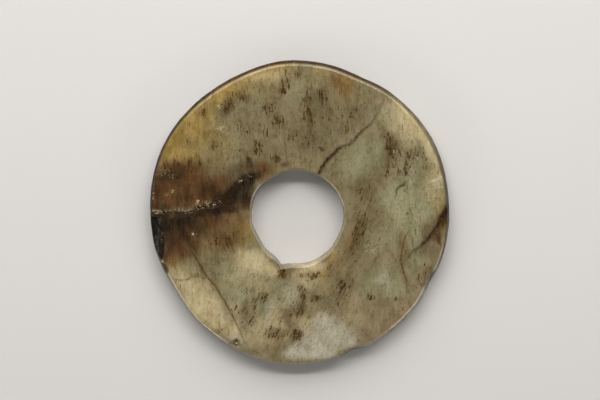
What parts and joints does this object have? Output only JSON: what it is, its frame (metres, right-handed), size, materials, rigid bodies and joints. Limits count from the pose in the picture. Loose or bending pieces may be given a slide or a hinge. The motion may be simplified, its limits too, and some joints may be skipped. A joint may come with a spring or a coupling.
{
  "type": "jade bi disc",
  "caption": "Flat ring-shaped ritual disc of polished mottled jade with a central drilled hole, worn and chipped at the rim and crossed by stained fissures.",
  "frame": {"origin": "on the surface the disc lies on, under the middle of its outline's bounding box", "axes": "+Z up through the thickness, from the back face that the disc lies on to the front face; +Y is up and +X is right on the front face as it is shown upright"},
  "size_m": [0.14, 0.1434, 0.011],
  "materials": {
    "jade": "satin"
  },
  "bodies": {
    "root": {"jade_disc": "jade"}
  },
  "joints": []
}
